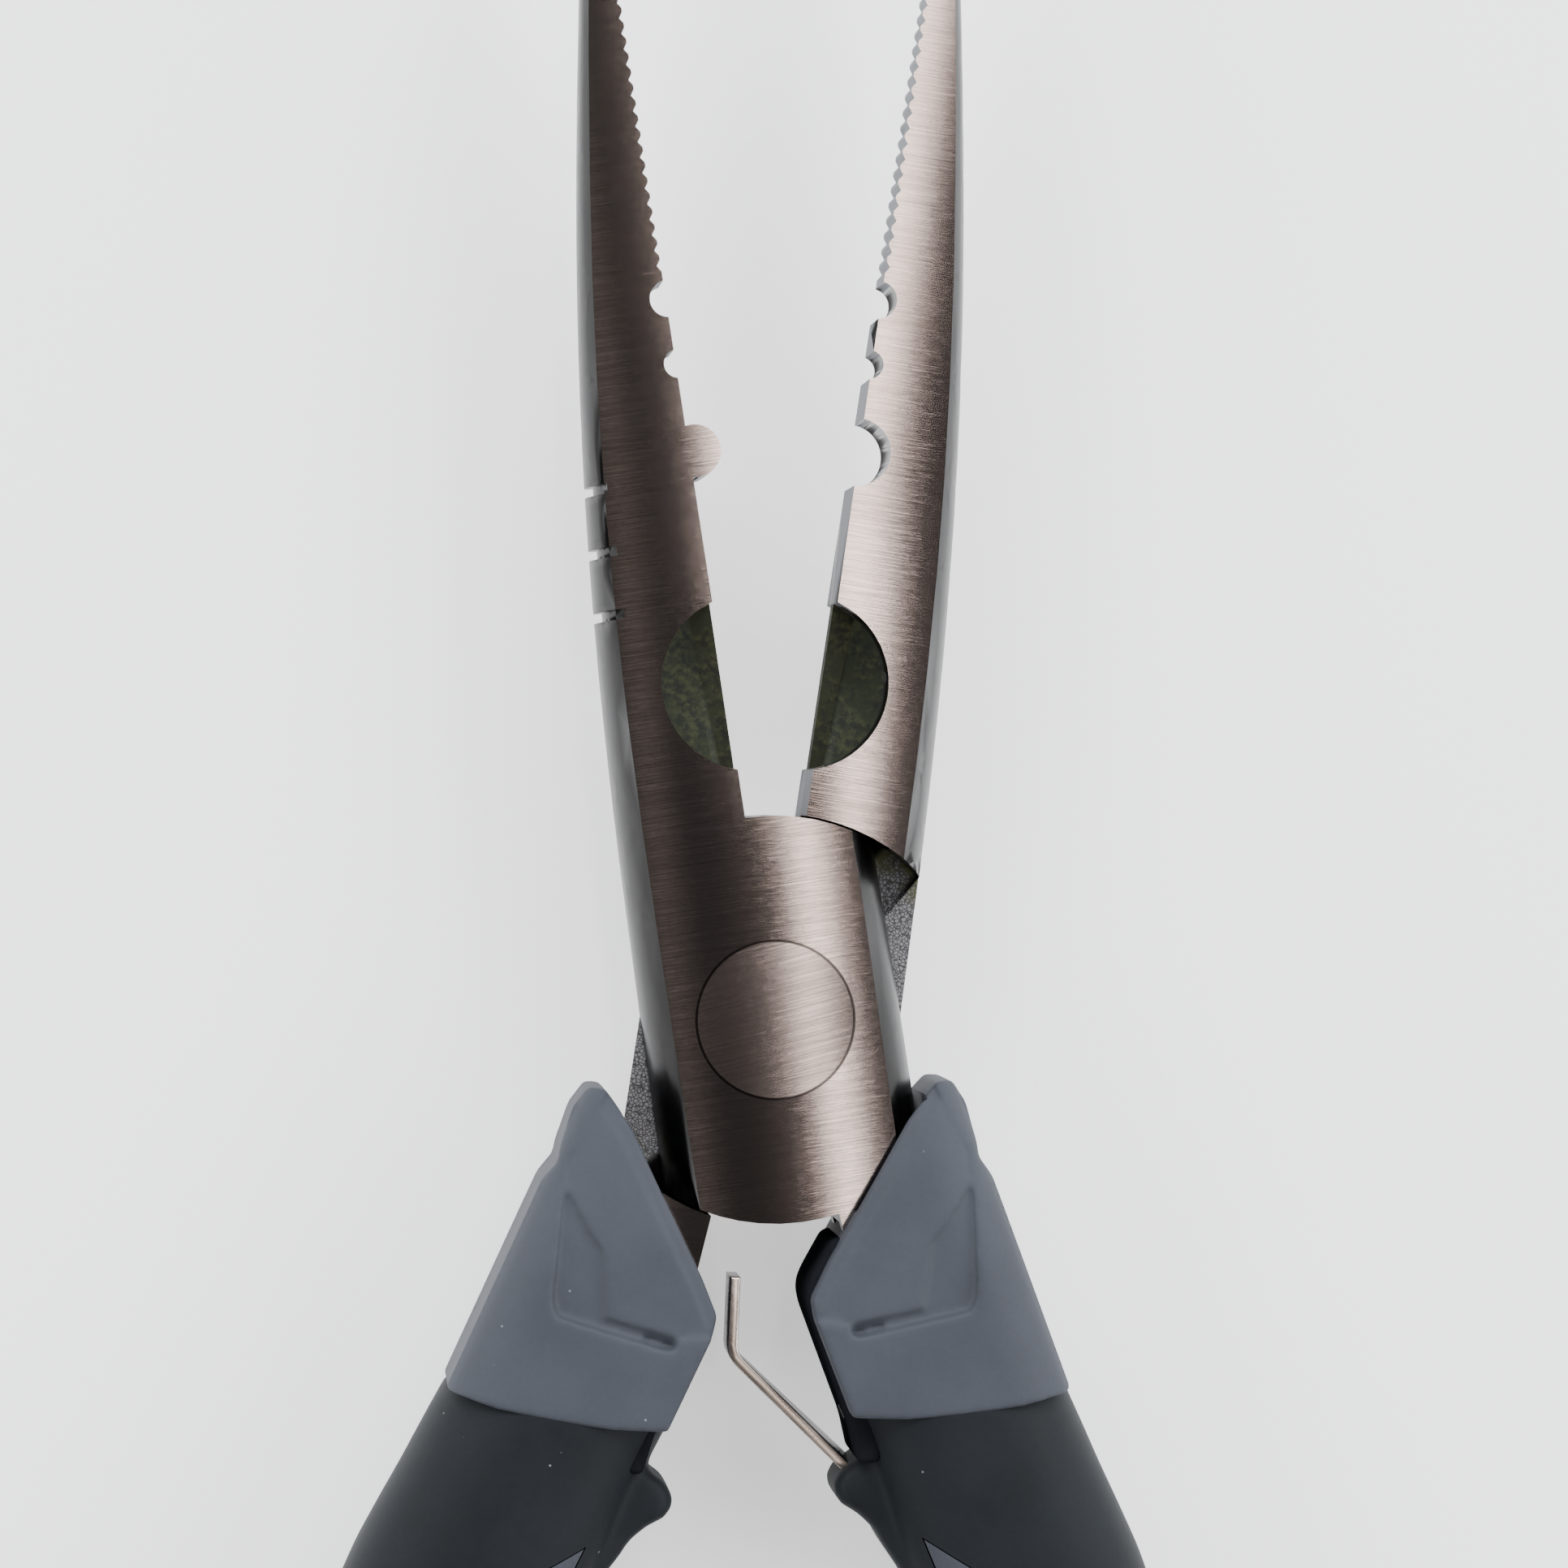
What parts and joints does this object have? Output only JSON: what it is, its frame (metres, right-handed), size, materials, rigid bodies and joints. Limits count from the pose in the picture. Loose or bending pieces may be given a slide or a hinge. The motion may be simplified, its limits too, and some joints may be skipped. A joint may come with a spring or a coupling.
{
  "type": "long-nose pliers",
  "caption": "Spring-opened long-nose pliers with side cutters, a crimping lobe and two-tone moulded grips.",
  "frame": {"origin": "on the pivot axis, at the flat rear head of the rivet", "axes": "+Y from the pivot towards the jaw tips, +Z along the pivot out of the front face, +X to the right when seen from the front"},
  "size_m": [0.0889, 0.2073, 0.0173],
  "materials": {
    "forged_steel": "brushed across the jaws, dark oxide tone",
    "rivet_steel": "ground flush and brushed with the face",
    "spring_steel": "rolled strip, satin",
    "core_plastic": "hard black moulding",
    "slate_plastic": "slate grey, fine matt texture",
    "black_rubber": "soft black, matt"
  },
  "bodies": {
    "front_member": {"front_half": "forged_steel", "pivot_rivet": "rivet_steel", "right_core": "core_plastic", "right_collar": "slate_plastic", "right_grip": "black_rubber", "right_inlay_front": "slate_plastic", "right_inlay_rear": "slate_plastic"},
    "rear_member": {"rear_half": "forged_steel", "left_core": "core_plastic", "left_collar": "slate_plastic", "left_grip": "black_rubber", "left_inlay_front": "slate_plastic", "left_inlay_rear": "slate_plastic"},
    "spring_leaf": {"leaf_spring": "spring_steel"}
  },
  "joints": [
    {"name": "jaw_pivot", "type": "hinge", "parent": "front_member", "child": "rear_member", "pos_m": [0, 0, 0.00525], "axis": [0, 0, 1], "range_deg": [0, 17], "stiffness_Nm_per_rad": 1, "springref_deg": -5.73},
    {"name": "spring_flex", "type": "hinge", "parent": "front_member", "child": "spring_leaf", "pos_m": [0.0056, -0.0319, 0.00525], "axis": [0, 0, 1], "range_deg": [-30, 0]}
  ],
  "couplings": [
    {"joint": "spring_flex", "follows": "jaw_pivot", "ratio": -1.75}
  ]
}
